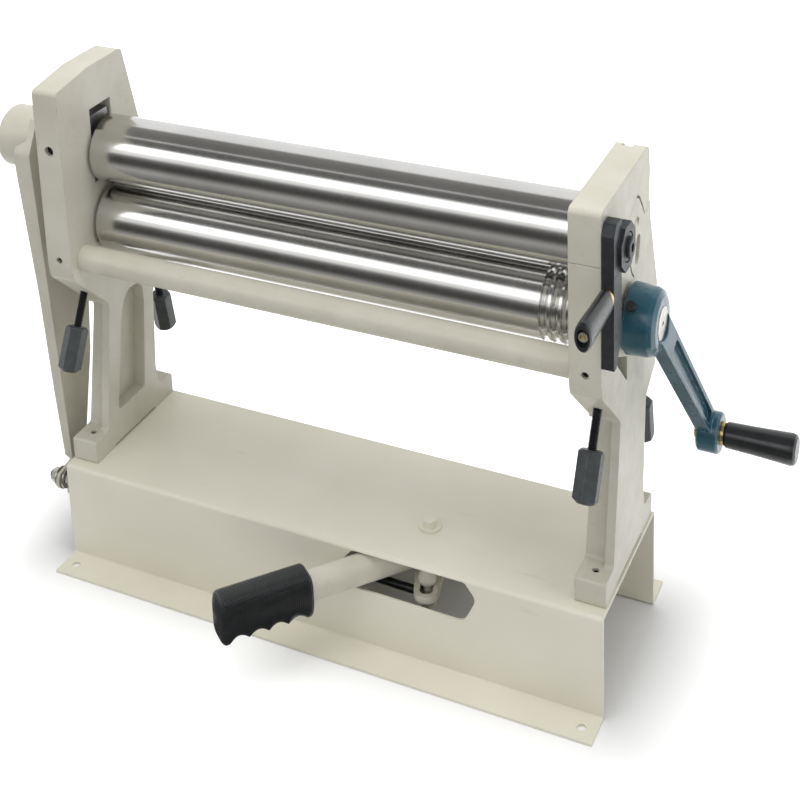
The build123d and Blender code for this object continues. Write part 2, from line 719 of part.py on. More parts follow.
bolt_shank = bar((outer_x - 22, *latch_pivot), (latch_bolt_head, *latch_pivot), latch_bolt_r)
bolt_head = turned(
    (latch_bolt_head, *latch_pivot),
    (latch_bolt_head + 20, *latch_pivot),
    [(0, 14.5), (2.5, 14.5), (2.5, 11), (6, 11), (7, 10)],
)
bolt_socket = hex_bar((latch_bolt_head + 2, *latch_pivot), (latch_bolt_head + 12, *latch_pivot), 9)
parts["latch_pivot_bolt"] = bolt_shank + bolt_head - bolt_socket
latch_grip_half = (9.0, 16.5)
stud_r = 3.0


def oval_at(y, share):
    """Upright oval across the latch grip, as a share of its full size."""
    plane = Plane(origin=(latch_grip_x, y, grip_z), x_dir=(1, 0, 0), z_dir=(0, -1, 0))
    return plane * Ellipse(latch_grip_half[0] * share, latch_grip_half[1] * share)


def latch_bar_round(y0, y1, radius):
    return bar((latch_grip_x, y0, grip_z), (latch_grip_x, y1, grip_z), radius)


latch_grip_start = -106.5
latch_grip_length = 74.5
stud_end = latch_grip_start - latch_grip_length + 4
collar = extrude(oval_at(-100.2, 0.74), amount=5) + extrude(oval_at(-105.1, 0.66), amount=1.2)
parts["latch_grip_collar"] = collar + latch_bar_round(-85, -101, 4) + latch_bar_round(-100, stud_end, stud_r)
swell = [(0, 0.8), (3, 0.9), (35, 0.94), (66, 1.0), (72, 0.96), (latch_grip_length, 0.84)]
latch_grip = loft([oval_at(latch_grip_start - at, share) for at, share in swell], ruled=True)
latch_grip -= latch_bar_round(latch_grip_start + 1, stud_end - 20, stud_r + 0.05)
latch_grip -= extrude(oval_at(stud_end + 1.5, 0.6), amount=20)
parts["latch_grip"] = latch_grip
parts["latch_grip_screw"] = latch_bar_round(stud_end + 1.2, stud_end - 1.8, 5) - latch_bar_round(
    stud_end + 2, stud_end - 3, stud_r + 0.02
)

# Crank: hub, I-section arm leaning outwards and end boss, in one casting
hub = turned(
    (crank_hub_x0, *lower_axis),
    (crank_hub_x1 + 50, *lower_axis),
    [
        (0, crank_hub_r - 2),
        (2, crank_hub_r),
        (26, crank_hub_r - 1.5),
        (31, crank_hub_r - 4),
        (crank_hub_x1 - crank_hub_x0, crank_hub_r - 10),
    ],
)
arm_start = Vector(crank_hub_x1 - 8, *lower_axis)
arm_end = Vector(*crank_end)
arm_run = arm_end - arm_start
arm_length = arm_run.length
across = Vector(1, 0, 0).cross(arm_run).normalized()
arm_plane = Plane(origin=arm_start, x_dir=arm_run, z_dir=arm_run.normalized().cross(across))
arm_half = 8.0


def tapered(start, end, half_start, half_end, corner):
    return [
        (start, -half_start, corner),
        (end, -half_end, corner),
        (end, half_end, corner),
        (start, half_start, corner),
    ]


crank_web = extrude(
    arm_plane * rounded(Plane.XY, tapered(6, arm_length, 17, 12, 0)), amount=arm_half, both=True
)
recess = rounded(Plane.XY, tapered(44, arm_length - 27, 11, 7.5, 5))
for sign in (-1, 1):
    shelf = Plane(origin=arm_plane.origin + arm_plane.z_dir * (3 * sign), x_dir=arm_plane.x_dir,
                  z_dir=arm_plane.z_dir * sign)
    crank_web -= extrude(shelf * recess, amount=20)
end_boss_half = 12.0
end_boss = turned(
    (crank_end[0] - end_boss_half, crank_end[1], crank_end[2]),
    (crank_end[0] + 50, crank_end[1], crank_end[2]),
    [(0, 21), (2, 23), (2 * end_boss_half - 2, 23), (2 * end_boss_half, 21)],
)
crank = hub + crank_web + end_boss
crank -= bar((outer_x, *lower_axis), (crank_hub_x1 + 20, *lower_axis), journal_r + 0.05)
washer_x = crank_hub_x1 - 3.2
crank -= bar((washer_x - 0.1, *lower_axis), (crank_hub_x1 + 20, *lower_axis), 18.4)
spindle_r = 6.0
crank -= bar(
    (crank_end[0] - 20, crank_end[1], crank_end[2]),
    (crank_end[0] + 20, crank_end[1], crank_end[2]),
    spindle_r + 0.06,
)
key_turn = math.radians(134)
key_dir = (math.cos(key_turn), math.sin(key_turn))
key_x = crank_hub_x0 + 9.0


def key_point(distance):
    return (key_x, lower_axis[0] + key_dir[0] * distance, lower_axis[1] + key_dir[1] * distance)


crank -= bar(key_point(journal_r), key_point(crank_hub_r + 5), 4.05)
parts["crank_handle"] = crank
set_screw_shank = bar(key_point(journal_r + 0.1), key_point(crank_hub_r + 0.5), 4)
parts["crank_set_screw"] = set_screw_shank + hex_bar(key_point(crank_hub_r + 0.1), key_point(crank_hub_r + 6), 10)
washer_face = washer_x + 3.6
sunk_head = turned(
    (washer_face, *lower_axis), (washer_face - 9, *lower_axis), [(0, 7.4), (0.4, 7.4), (3.4, end_screw_r + 0.1)]
)
washer = ring((washer_x, *lower_axis), (washer_face, *lower_axis), 18, end_screw_r + 0.1)
parts["crank_end_washer"] = washer - sunk_head
end_screw = turned(
    (washer_face, *lower_axis), (washer_face - 30, *lower_axis), [(0, 7.3), (0.3, 7.3), (3.3, end_screw_r), (24, end_screw_r)]
)
parts["crank_end_screw"] = end_screw - hex_bar((washer_face + 1, *lower_axis), (washer_face - 2.6, *lower_axis), 5)

# Crank grip turning on its brass spindle
spindle_x0 = crank_end[0] - end_boss_half
spindle_x1 = crank_end[0] + 84.0
spindle_axis = (crank_end[1], crank_end[2])
collar_x = crank_end[0] + end_boss_half + 0.2
parts["crank_spindle"] = (
    bar((spindle_x0 - 2, *spindle_axis), (spindle_x1, *spindle_axis), spindle_r)
    + turned((collar_x, *spindle_axis), (collar_x + 30, *spindle_axis), [(0, 13), (3.5, 13), (4.5, 11.5)])
    + bar((spindle_x0 - 4, *spindle_axis), (spindle_x0 - 0.2, *spindle_axis), 10)
)
grip_x = collar_x + 5.0
crank_grip = turned(
    (grip_x, *spindle_axis),
    (grip_x + 200, *spindle_axis),
    [(0, 13), (1.5, 14.2), (30, 15.2), (60, 16.8), (70, 17.5), (74, 16.5), (76, 13.5)],
)
crank_grip -= bar((grip_x - 1, *spindle_axis), (spindle_x1 + 0.6, *spindle_axis), spindle_r + 0.08)
parts["crank_grip"] = crank_grip

# One STEP file for each node
os.makedirs("parts", exist_ok=True)
for name, shape in parts.items():
    export_step(shape, f"parts/{name}.step")
    print(name, len(shape.solids()), round(shape.volume / 1000, 1))
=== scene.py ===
import bmesh
import bpy
import json
import math
from mathutils import Matrix, Vector


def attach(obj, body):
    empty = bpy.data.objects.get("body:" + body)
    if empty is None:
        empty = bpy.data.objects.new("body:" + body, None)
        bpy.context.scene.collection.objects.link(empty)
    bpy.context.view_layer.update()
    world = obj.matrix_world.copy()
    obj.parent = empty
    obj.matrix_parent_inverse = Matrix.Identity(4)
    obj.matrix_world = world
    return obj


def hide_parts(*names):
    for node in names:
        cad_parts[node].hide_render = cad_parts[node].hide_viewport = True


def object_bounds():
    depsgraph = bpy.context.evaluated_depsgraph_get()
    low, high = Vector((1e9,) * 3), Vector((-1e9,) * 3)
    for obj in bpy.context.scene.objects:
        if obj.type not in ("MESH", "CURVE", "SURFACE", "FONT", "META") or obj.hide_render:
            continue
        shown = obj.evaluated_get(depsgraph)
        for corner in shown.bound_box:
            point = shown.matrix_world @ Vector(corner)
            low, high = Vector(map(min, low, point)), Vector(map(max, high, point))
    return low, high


# Slip roll machine: CAD solids with their finishes, and the fine pieces that the solids leave out.
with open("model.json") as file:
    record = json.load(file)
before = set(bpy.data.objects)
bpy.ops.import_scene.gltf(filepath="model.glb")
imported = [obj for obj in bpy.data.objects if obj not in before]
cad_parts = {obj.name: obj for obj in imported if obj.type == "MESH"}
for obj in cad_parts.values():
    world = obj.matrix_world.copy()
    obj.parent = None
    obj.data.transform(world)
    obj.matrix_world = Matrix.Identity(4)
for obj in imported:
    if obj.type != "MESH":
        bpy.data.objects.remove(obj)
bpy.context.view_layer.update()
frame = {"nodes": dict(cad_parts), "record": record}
nodes = frame["nodes"]
mm = 0.001


# Camera, matched to the photograph; the image plane leans a little and its centre is off the picture
camera = {
    "place": (0.76595, -1.48174, 1.30027),
    "yaw": 0.4911,
    "pitch": 0.2620,
    "roll": -0.0510,
    "focal": 1606.369,
    "centre": (300.0, -100.0),
}


def addCamera():
    yaw, pitch, roll = camera["yaw"], camera["pitch"], camera["roll"]
    forward = Vector((-math.cos(pitch) * math.sin(yaw), math.cos(pitch) * math.cos(yaw), -math.sin(pitch)))
    level = Vector((math.cos(yaw), math.sin(yaw), 0))
    upright = level.cross(forward)
    right = level * math.cos(roll) + upright * math.sin(roll)
    up = upright * math.cos(roll) - level * math.sin(roll)
    turn = Matrix((right, up, -forward)).transposed().to_4x4()
    data = bpy.data.cameras.new("camera")
    data.sensor_width = 36.0
    data.lens = camera["focal"] * 36.0 / 800.0
    data.shift_x = (400.0 - camera["centre"][0]) / 800.0
    data.shift_y = (camera["centre"][1] - 400.0) / 800.0
    data.clip_start = 0.05
    obj = bpy.data.objects.new("camera", data)
    obj.matrix_world = Matrix.Translation(camera["place"]) @ turn
    bpy.context.scene.collection.objects.link(obj)
    bpy.context.scene.camera = obj


addCamera()
print("camera")


# Node helpers
def setSockets(shader, sockets):
    for name, value in sockets.items():
        shader.inputs[name].default_value = value


class Finish:
    # A material being built: its tree, and the parts that several finishes share
    def __init__(self, name, **sockets):
        self.material = bpy.data.materials.new(name)
        self.material.use_nodes = True
        self.tree = self.material.node_tree
        self.shader = self.tree.nodes["Principled BSDF"]
        setSockets(self.shader, sockets)
        self.coord = self.add("ShaderNodeTexCoord").outputs["Object"]

    def add(self, kind, **settings):
        node = self.tree.nodes.new(kind)
        for name, value in settings.items():
            setattr(node, name, value)
        return node

    def link(self, output, socket):
        self.tree.links.new(output, socket)

    def noise(self, scale, detail=3.0, stretch=(1, 1, 1), distortion=0.0):
        mapping = self.add("ShaderNodeMapping")
        mapping.inputs["Scale"].default_value = stretch
        self.link(self.coord, mapping.inputs["Vector"])
        node = self.add("ShaderNodeTexNoise")
        node.inputs["Scale"].default_value = scale
        node.inputs["Detail"].default_value = detail
        node.inputs["Distortion"].default_value = distortion
        self.link(mapping.outputs["Vector"], node.inputs["Vector"])
        return node.outputs["Fac"]

    def ramp(self, source, low, high, first=0.0, last=1.0):
        node = self.add("ShaderNodeMapRange")
        node.inputs["From Min"].default_value = low
        node.inputs["From Max"].default_value = high
        node.inputs["To Min"].default_value = first
        node.inputs["To Max"].default_value = last
        self.link(source, node.inputs["Value"])
        return node.outputs["Result"]

    def times(self, a, b):
        node = self.add("ShaderNodeMath", operation="MULTIPLY")
        self.link(a, node.inputs[0])
        self.link(b, node.inputs[1])
        return node.outputs["Value"]

    def mix(self, mask, first, second):
        # Each of first and second is a colour or a socket
        node = self.add("ShaderNodeMix", data_type="RGBA")
        self.link(mask, node.inputs["Factor"])
        for key, value in (("A", first), ("B", second)):
            socket = [s for s in node.inputs if s.name == key and s.type == "RGBA"][0]
            if isinstance(value, bpy.types.NodeSocket):
                self.link(value, socket)
            else:
                socket.default_value = (*value, 1.0)
        return [s for s in node.outputs if s.type == "RGBA"][0]

    def edges(self, radius, low, high):
        # Mask that is 1 on sharp edges, from how far a rounded normal leaves the true one
        bevel = self.add("ShaderNodeBevel", samples=6)
        bevel.inputs["Radius"].default_value = radius
        plain = self.add("ShaderNodeNewGeometry")
        dot = self.add("ShaderNodeVectorMath", operation="DOT_PRODUCT")
        self.link(bevel.outputs["Normal"], dot.inputs[0])
        self.link(plain.outputs["Normal"], dot.inputs[1])
        return self.ramp(dot.outputs["Value"], high, low)

    def colour(self, socket):
        self.link(socket, self.shader.inputs["Base Color"])

    def roughness(self, socket):
        self.link(socket, self.shader.inputs["Roughness"])

    def bump(self, heights, rounding=0.0):
        # Bumps as (height socket, distance in metres), over normals rounded at the edges
        last = None
        if rounding:
            bevel = self.add("ShaderNodeBevel", samples=6)
            bevel.inputs["Radius"].default_value = rounding
            last = bevel.outputs["Normal"]
        for height, distance in heights:
            node = self.add("ShaderNodeBump")
            node.inputs["Strength"].default_value = 1.0
            node.inputs["Distance"].default_value = distance
            self.link(height, node.inputs["Height"])
            if last:
                self.link(last, node.inputs["Normal"])
            last = node.outputs["Normal"]
        self.link(last, self.shader.inputs["Normal"])


def linear(red, green, blue):
    # Screen colour, 0 to 255
    values = []
    for c in (red, green, blue):
        c = c / 255.0
        values.append(c / 12.92 if c <= 0.04045 else ((c + 0.055) / 1.055) ** 2.4)
    return tuple(values)


def castPaint():
    cream = Finish("castPaint", **{"Coat Weight": 0.12, "Coat Roughness": 0.25})
    broad = cream.ramp(cream.noise(14, 2.0), 0.35, 0.68)
    tone = cream.mix(broad, linear(197, 194, 178), linear(206, 203, 189))
    grime = cream.ramp(cream.noise(90, 6.0, distortion=0.6), 0.60, 0.78, 0.0, 0.35)
    tone = cream.mix(grime, tone, linear(180, 176, 155))
    chips = cream.times(cream.edges(0.0016, 0.82, 0.97), cream.ramp(cream.noise(120, 4.0), 0.52, 0.66))
    tone = cream.mix(chips, tone, linear(228, 226, 216))
    cream.colour(tone)
    cream.roughness(cream.ramp(cream.noise(60, 3.0), 0.3, 0.7, 0.36, 0.50))
    grain = cream.noise(520, 3.0)
    waves = cream.noise(45, 2.0)
    cream.bump([(grain, 0.00022), (waves, 0.0011)], rounding=0.0016)
    return cream.material


def sheetPaint():
    cream = Finish("sheetPaint", **{"Coat Weight": 0.08, "Coat Roughness": 0.3})
    broad = cream.ramp(cream.noise(6, 2.0), 0.35, 0.68)
    tone = cream.mix(broad, linear(226, 223, 206), linear(234, 231, 215))
    scuffs = cream.ramp(cream.noise(70, 8.0, stretch=(0.25, 1, 1)), 0.66, 0.80, 0.0, 0.4)
    tone = cream.mix(scuffs, tone, linear(204, 200, 182))
    cream.colour(tone)
    cream.roughness(cream.ramp(cream.noise(40, 3.0), 0.3, 0.7, 0.38, 0.52))
    cream.bump([(cream.noise(900, 2.0), 0.00006), (cream.noise(9, 2.0), 0.0016)], rounding=0.0008)
    return cream.material


def rollSteel():
    steel = Finish("rollSteel", Metallic=1.0)
    lines = steel.noise(1.0, 6.0, stretch=(2600, 3, 3))
    patches = steel.ramp(steel.noise(9, 3.0), 0.35, 0.7)
    steel.colour(steel.mix(patches, (0.62, 0.615, 0.60), (0.72, 0.715, 0.70)))
    steel.roughness(steel.ramp(lines, 0.3, 0.7, 0.12, 0.22))
    steel.bump([(lines, 0.000004)], rounding=0.0006)
    return steel.material


def plainSteel(name, tone, rough):
    steel = Finish(name, Metallic=1.0)
    blotch = steel.ramp(steel.noise(160, 5.0), 0.35, 0.7)
    darker = tuple(c * 0.72 for c in tone)
    steel.colour(steel.mix(blotch, tone, darker))
    steel.roughness(steel.ramp(steel.noise(300, 3.0), 0.3, 0.7, rough - 0.06, rough + 0.10))
    steel.bump([(steel.noise(900, 3.0), 0.00004)], rounding=0.0005)
    return steel.material


def blackened(name, tone, worn, rough):
    dark = Finish(name)
    blotch = dark.ramp(dark.noise(120, 5.0), 0.4, 0.7)
    base = dark.mix(blotch, tone, tuple(c * 1.5 for c in tone))
    rubbed = dark.times(dark.edges(0.0012, 0.80, 0.98), dark.ramp(dark.noise(180, 4.0), 0.38, 0.60))
    dark.colour(dark.mix(rubbed, base, worn))
    dark.roughness(dark.ramp(dark.noise(240, 4.0), 0.3, 0.7, rough - 0.07, rough + 0.10))
    dark.bump([(dark.noise(700, 3.0), 0.00006)], rounding=0.0008)
    return dark.material


def crankPaint():
    teal = Finish("crankPaint", **{"Coat Weight": 0.35, "Coat Roughness": 0.15})
    broad = teal.ramp(teal.noise(22, 3.0), 0.35, 0.7)
    base = teal.mix(broad, linear(24, 70, 86), linear(38, 90, 106))
    rubbed = teal.times(teal.edges(0.0026, 0.70, 0.97), teal.ramp(teal.noise(95, 5.0), 0.36, 0.58))
    base = teal.mix(rubbed, base, linear(146, 176, 184))
    teal.colour(base)
    teal.roughness(teal.ramp(teal.noise(60, 3.0), 0.3, 0.7, 0.24, 0.40))
    teal.bump([(teal.noise(330, 3.0), 0.00016), (teal.noise(40, 2.0), 0.0009)], rounding=0.0016)
    return teal.material


def moulded(name, tone, rough, coat):
    plastic = Finish(name, **{"Coat Weight": coat, "Coat Roughness": 0.2, "IOR": 1.5})
    blotch = plastic.ramp(plastic.noise(60, 4.0), 0.4, 0.7)
    plastic.colour(plastic.mix(blotch, tone, tuple(c * 1.7 for c in tone)))
    plastic.roughness(plastic.ramp(plastic.noise(200, 4.0), 0.3, 0.7, rough - 0.06, rough + 0.08))
    plastic.bump([(plastic.noise(1200, 2.0), 0.00005)], rounding=0.0006)
    return plastic.material


finishes = {
    "frame_cream": castPaint(),
    "base_cream": sheetPaint(),
    "roll_steel": rollSteel(),
    "block_iron": plainSteel("blockIron", (0.30, 0.30, 0.30), 0.42),
    "screw_steel": plainSteel("screwSteel", (0.045, 0.047, 0.05), 0.40),
    "knob_grey": blackened("knobGrey", linear(53, 57, 59), linear(125, 129, 130), 0.42),
    "fastener_zinc": plainSteel("fastenerZinc", (0.62, 0.61, 0.57), 0.34),
    "crank_teal": crankPaint(),
    "brass_collar": plainSteel("brassCollar", (0.72, 0.56, 0.27), 0.28),
    "grip_black": moulded("gripBlack", linear(17, 21, 23), 0.34, 0.3),
    "latch_black": blackened("latchBlack", linear(34, 38, 42), linear(95, 100, 106), 0.45),
}
for part in frame["record"]["subparts"]:
    mesh = nodes[part["node"]].data
    mesh.materials.clear()
    mesh.materials.append(finishes[part["material_slot"]])
print("finishes")


# Mesh helpers; pieces are laid out in millimetres
def addPiece(name, parts, slot, body, *covers):
    verts, faces = [], []
    for points, sides in parts:
        faces += [tuple(len(verts) + i for i in side) for side in sides]
        verts += [tuple(c * mm for c in point) for point in points]
    mesh = bpy.data.meshes.new(name)
    mesh.from_pydata(verts, [], faces)
    shape = bmesh.new()
    shape.from_mesh(mesh)
    bmesh.ops.recalc_face_normals(shape, faces=shape.faces)
    shape.to_mesh(mesh)
    shape.free()
    mesh.polygons.foreach_set("use_smooth", [True] * len(mesh.polygons))
    mesh.set_sharp_from_angle(angle=math.radians(32))
    mesh.materials.append(finishes[slot])
    obj = bpy.data.objects.new(name, mesh)
    bpy.context.scene.collection.objects.link(obj)
    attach(obj, body)
    if covers:
        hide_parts(*covers)


def skin(rings, looped=False):
    # Faces between rings of points; ends are closed unless the rings run round a bore
    count = len(rings[0])
    points = [point for ring in rings for point in ring]
    faces = []
    for i in range(len(rings) if looped else len(rings) - 1):
        low, high = i * count, (i + 1) % len(rings) * count
        for j in range(count):
            k = (j + 1) % count
            faces.append((low + j, low + k, high + k, high + j))
    if not looped:
        faces += [tuple(range(count)), tuple(range(len(points) - count, len(points)))]
    return points, faces


def between(places, height):
    # Value at a height on a line through (height, value) pairs
    for (low, first), (high, last) in zip(places, places[1:]):
        if height <= high:
            return first + (last - first) * (height - low) / (high - low)
    return places[-1][1]


# Adjusting screws: rods with a real helical thread, four rows of points to a turn
def threadedRod(start, along, length, crest, root, pitch, sides=16):
    along = Vector(along).normalized()
    across = along.orthogonal().normalized()
    beside = along.cross(across)
    rows = 4 * int(length / pitch - 1.5)
    last = sides - 1

    def ring(height, slope, radius):
        for j in range(sides):
            turn = 2 * math.pi * j / sides
            spoke = across * math.cos(turn) + beside * math.sin(turn)
            yield Vector(start) + along * (height + slope * j / sides) + spoke * radius

    def at(row, j):
        return sides * (row + 1) + j

    points = list(ring(0, 0, root))
    for row in range(rows + 1):
        points += ring((0.2 + row / 4) * pitch, pitch, (crest, crest, root, root)[row % 4])
    points += ring(length, 0, root)
    faces = [tuple(range(sides)), tuple(at(rows + 1, j) for j in range(sides))]
    for row in range(-1, rows + 1):
        faces += [(at(row, j), at(row, j + 1), at(row + 1, j + 1), at(row + 1, j)) for j in range(last)]
    for row in range(rows - 4):
        faces.append((at(row, last), at(row + 4, 0), at(row + 5, 0), at(row + 1, last)))
    low = [(-1, last), (-1, 0), (0, 0), (1, 0), (2, 0), (3, 0), (4, 0), (0, last)]
    high = [(-4, last), (0, 0), (1, 0), (1, last), (0, last), (-1, last), (-2, last), (-3, last)]
    faces.append(tuple(at(row, j) for row, j in low))
    faces.append(tuple(at(rows + row, j) for row, j in high))
    return points, faces


rods = {
    "crest": 4.95,
    "root": 4.05,
    "pitch": 1.75,
    "side": 322,
    "front": {"axis": (-10, 432), "lean": 28, "start": 19.7, "end": 152.5},
    "rear": {"axis": (67.5, 462), "lean": -10.5, "start": 15.2, "end": 217.5},
}
for place in ("front", "rear"):
    rod = rods[place]
    lean = math.radians(rod["lean"])
    along = (0, -math.sin(lean), -math.cos(lean))
    for hand, x in (("left", -rods["side"]), ("right", rods["side"])):
        start = Vector((x, *rod["axis"])) + Vector(along) * rod["start"]
        length = rod["end"] - rod["start"]
        thread = threadedRod(start, along, length, rods["crest"], rods["root"], rods["pitch"])
        screw = place + "_" + hand
        addPiece(screw + "Thread", [thread], "screw_steel", screw + "_adjuster", screw + "_screw")
print("adjusting screws")


# Nuts and washers on the link rod, and the rod's threaded end
def roundRing(x, centre, radius, sides=36):
    turns = [2 * math.pi * j / sides for j in range(sides)]
    return [(x, centre[0] + radius * math.cos(t), centre[1] + radius * math.sin(t)) for t in turns]


def nut(x, centre, flats, width, bore, sides=36):
    # Hexagon whose corners are cut by a cone at both faces
    half, reach, slope = width / 2, flats / 2, 0.6
    face = reach - 0.3
    turns = [2 * math.pi * j / sides for j in range(sides)]
    lobes = [reach / math.cos(turn % (math.pi / 3) - math.pi / 6) for turn in turns]

    def corner(side):
        rim = []
        for lobe, (_, y, z) in zip(lobes, roundRing(0, (0, 0), 1, sides)):
            edge = side * (half - (lobe - reach) * slope)
            rim.append((x + edge, centre[0] + y * lobe, centre[1] + z * lobe))
        return rim

    rings = [roundRing(x - half, centre, bore), roundRing(x - half, centre, face), corner(-1)]
    rings += [corner(1), roundRing(x + half, centre, face), roundRing(x + half, centre, bore)]
    return skin(rings, looped=True)


def washer(x, centre, radius, thick, bore):
    edge = 0.4
    half = thick / 2
    rings = [roundRing(x - half, centre, bore), roundRing(x - half, centre, radius - edge)]
    rings += [roundRing(x - half + edge, centre, radius), roundRing(x + half - edge, centre, radius)]
    rings += [roundRing(x + half, centre, radius - edge), roundRing(x + half, centre, bore)]
    return skin(rings, looped=True)


link = {
    "centre": (-64, 78),
    "plate": (-376, -372),
    "gap": 2.05,
    "bore": 5.15,
    "thread": {"length": 19, "crest": 5.1, "root": 4.4, "pitch": 1.5},
    "rodEnd": -391.8,
    "washerRadius": 13,
    "washerThick": 2.4,
    "nutFlats": 17,
    "nutWidth": 8,
    "nutClearance": 0.15,
}
fittings = [threadedRod((link["rodEnd"], *link["centre"]), (1, 0, 0), **link["thread"])]
for side, face in zip((-1, 1), link["plate"]):
    washerX = face + side * (link["gap"] + link["washerThick"] / 2)
    nutX = washerX + side * (link["washerThick"] / 2 + link["nutClearance"] + link["nutWidth"] / 2)
    fittings.append(washer(washerX, link["centre"], link["washerRadius"], link["washerThick"], link["bore"]))
    fittings.append(nut(nutX, link["centre"], link["nutFlats"], link["nutWidth"], link["bore"]))
addPiece("linkFittings", fittings, "fastener_zinc", "link", "link_nuts")
print("link fittings")


# Lever grip: fine ribs above, finger grooves below, a flared heel
grip = {
    "pivot": (117, -31, 97.5),
    "angle": -130,
    "start": 152,
    "end": 261,
    "halfWidth": 19.0,
    "halfHeight": 27.5,
    "ribPitch": 2.4,
    "ribDepth": 0.9,
    "grooves": [172, 195, 218, 241],
    "grooveReach": 11.5,
    "grooveDepth": 6.0,
    "grooveTop": -6.0,
    "grooveBlend": 10.0,
    "heelLength": 16,
    "heelDrop": 2.5,
    "round": 7.0,
    "endShrink": 0.22,
    "sides": 48,
    "stepsPerRib": 6,
}


def gripRing(along, shrink):
    angle = math.radians(grip["angle"])
    rib = grip["ribDepth"] * (0.5 - 0.5 * math.cos(2 * math.pi * along / grip["ribPitch"]))
    dip = 0.0
    for middle in grip["grooves"]:
        away = abs(along - middle) / grip["grooveReach"]
        if away < 1:
            dip = grip["grooveDepth"] * math.cos(away * math.pi / 2)
    heel = grip["heelDrop"] * max(0.0, 1 + (along - grip["end"]) / grip["heelLength"])
    ring = []
    for j in range(grip["sides"]):
        # A squared oval, by the root of the cosine and of the sine
        turn = 2 * math.pi * (j + 0.5) / grip["sides"]
        wide = math.copysign(abs(math.cos(turn)) ** 0.5, math.cos(turn)) * grip["halfWidth"] * shrink
        high = math.copysign(abs(math.sin(turn)) ** 0.5, math.sin(turn)) * grip["halfHeight"] * shrink
        if high > 1.0:
            wide *= 1 - rib / grip["halfWidth"]
            high *= 1 - rib / grip["halfHeight"]
        elif high < grip["grooveTop"]:
            high += (dip - heel) * min(1.0, (grip["grooveTop"] - high) / grip["grooveBlend"])
        x = grip["pivot"][0] + along * math.cos(angle) - wide * math.sin(angle)
        y = grip["pivot"][1] + along * math.sin(angle) + wide * math.cos(angle)
        ring.append((x, y, grip["pivot"][2] + high))
    return ring


def leverGrip():
    step = grip["ribPitch"] / grip["stepsPerRib"]
    count = int((grip["end"] - grip["start"]) / step)
    rings = []
    for i in range(count + 1):
        along = grip["start"] + i * step
        inset = max(0.0, 1 - min(along - grip["start"], grip["end"] - along) / grip["round"])
        rings.append(gripRing(along, 1 - grip["endShrink"] * inset ** 3))
    return skin(rings)


addPiece("leverGripMoulding", [leverGrip()], "grip_black", "lift_handle", "lever_grip")
print("lever grip")


# Lift arm: a folded plate that narrows to its ear at the foot, with the boss on the upper roll's journal
arm = {
    "outer": -376,
    "inner": -372,
    "foot": 45,
    "top": 562,
    "steps": 130,
    "lipThick": 4,
    "front": [(45, -52), (92, -46), (523, -73), (562, -52)],
    "rear": [(45, -27), (116, -12), (221, 12), (470, 34), (562, 34)],
    "flange": [(45, 5), (88, 7), (190, 10), (330, 11.5), (500, 19), (532, 19), (536, 5), (562, 5)],
    "ear": (-64, 78, 14.5),
    "boss": (-10, 517),
    "bossRadius": 38,
    "bossEnd": -442,
    "bossRound": 7,
    "hubRadius": 25,
    "hubEnd": -345,
    "sleeveRadius": 16.5,
    "sleeveEnd": -335,
}


def armPlate():
    # The front edge is folded outwards as a lip, which stops short of the ear round the link rod
    rings = []
    outer, inner = arm["outer"], arm["inner"]
    earY, earZ, earRadius = arm["ear"]
    for i in range(arm["steps"] + 1):
        z = arm["foot"] + (arm["top"] - arm["foot"]) * i / arm["steps"]
        front = between(arm["front"], z)
        rear = between(arm["rear"], z)
        if abs(z - earZ) < earRadius:
            front = min(front, earY - math.sqrt(earRadius ** 2 - (z - earZ) ** 2))
        lip = outer - (between(arm["flange"], z) if abs(z - earZ) > earRadius + 2 else 0.2)
        fold = front + arm["lipThick"]
        ring = [(lip, front), (inner, front), (inner, rear), (outer, rear), (outer, fold), (lip, fold)]
        rings.append([(x, y, z) for x, y in ring])
    return skin(rings)


def armBoss():
    # Turned piece along the upper roll's axis, rounded at its closed outer end
    radius, end, corner = arm["bossRadius"], arm["bossEnd"], arm["bossRound"]
    profile = [(end, radius * 0.4)]
    steps = 8
    for i in range(steps + 1):
        turn = math.radians(90 * i / steps)
        profile.append((end + corner * (1 - math.cos(turn)), radius - corner * (1 - math.sin(turn))))
    profile += [(arm["inner"], radius), (arm["inner"], arm["hubRadius"]), (arm["hubEnd"], arm["hubRadius"])]
    profile += [(arm["hubEnd"], arm["sleeveRadius"]), (arm["sleeveEnd"], arm["sleeveRadius"])]
    return skin([roundRing(x, arm["boss"], reach, 64) for x, reach in profile])


addPiece("liftArmPlate", [armPlate(), armBoss()], "frame_cream", "tilt_head", "lift_arm")
print("lift arm")


# Floor, backdrop colour and lights; the cards are dark studio boards that only reflections see
def addSheet(name, corners, finish):
    mesh = bpy.data.meshes.new(name)
    mesh.from_pydata(corners, [], [(0, 1, 2, 3)])
    mesh.materials.append(finish)
    obj = bpy.data.objects.new(name, mesh)
    bpy.context.scene.collection.objects.link(obj)
    return obj


def seenRays(tree):
    path = tree.nodes.new("ShaderNodeLightPath")
    seen = path.outputs["Is Camera Ray"]
    for name in ("Is Glossy Ray", "Is Transmission Ray"):
        more = tree.nodes.new("ShaderNodeMath")
        more.operation = "MAXIMUM"
        tree.links.new(seen, more.inputs[0])
        tree.links.new(path.outputs[name], more.inputs[1])
        seen = more.outputs["Value"]
    return seen


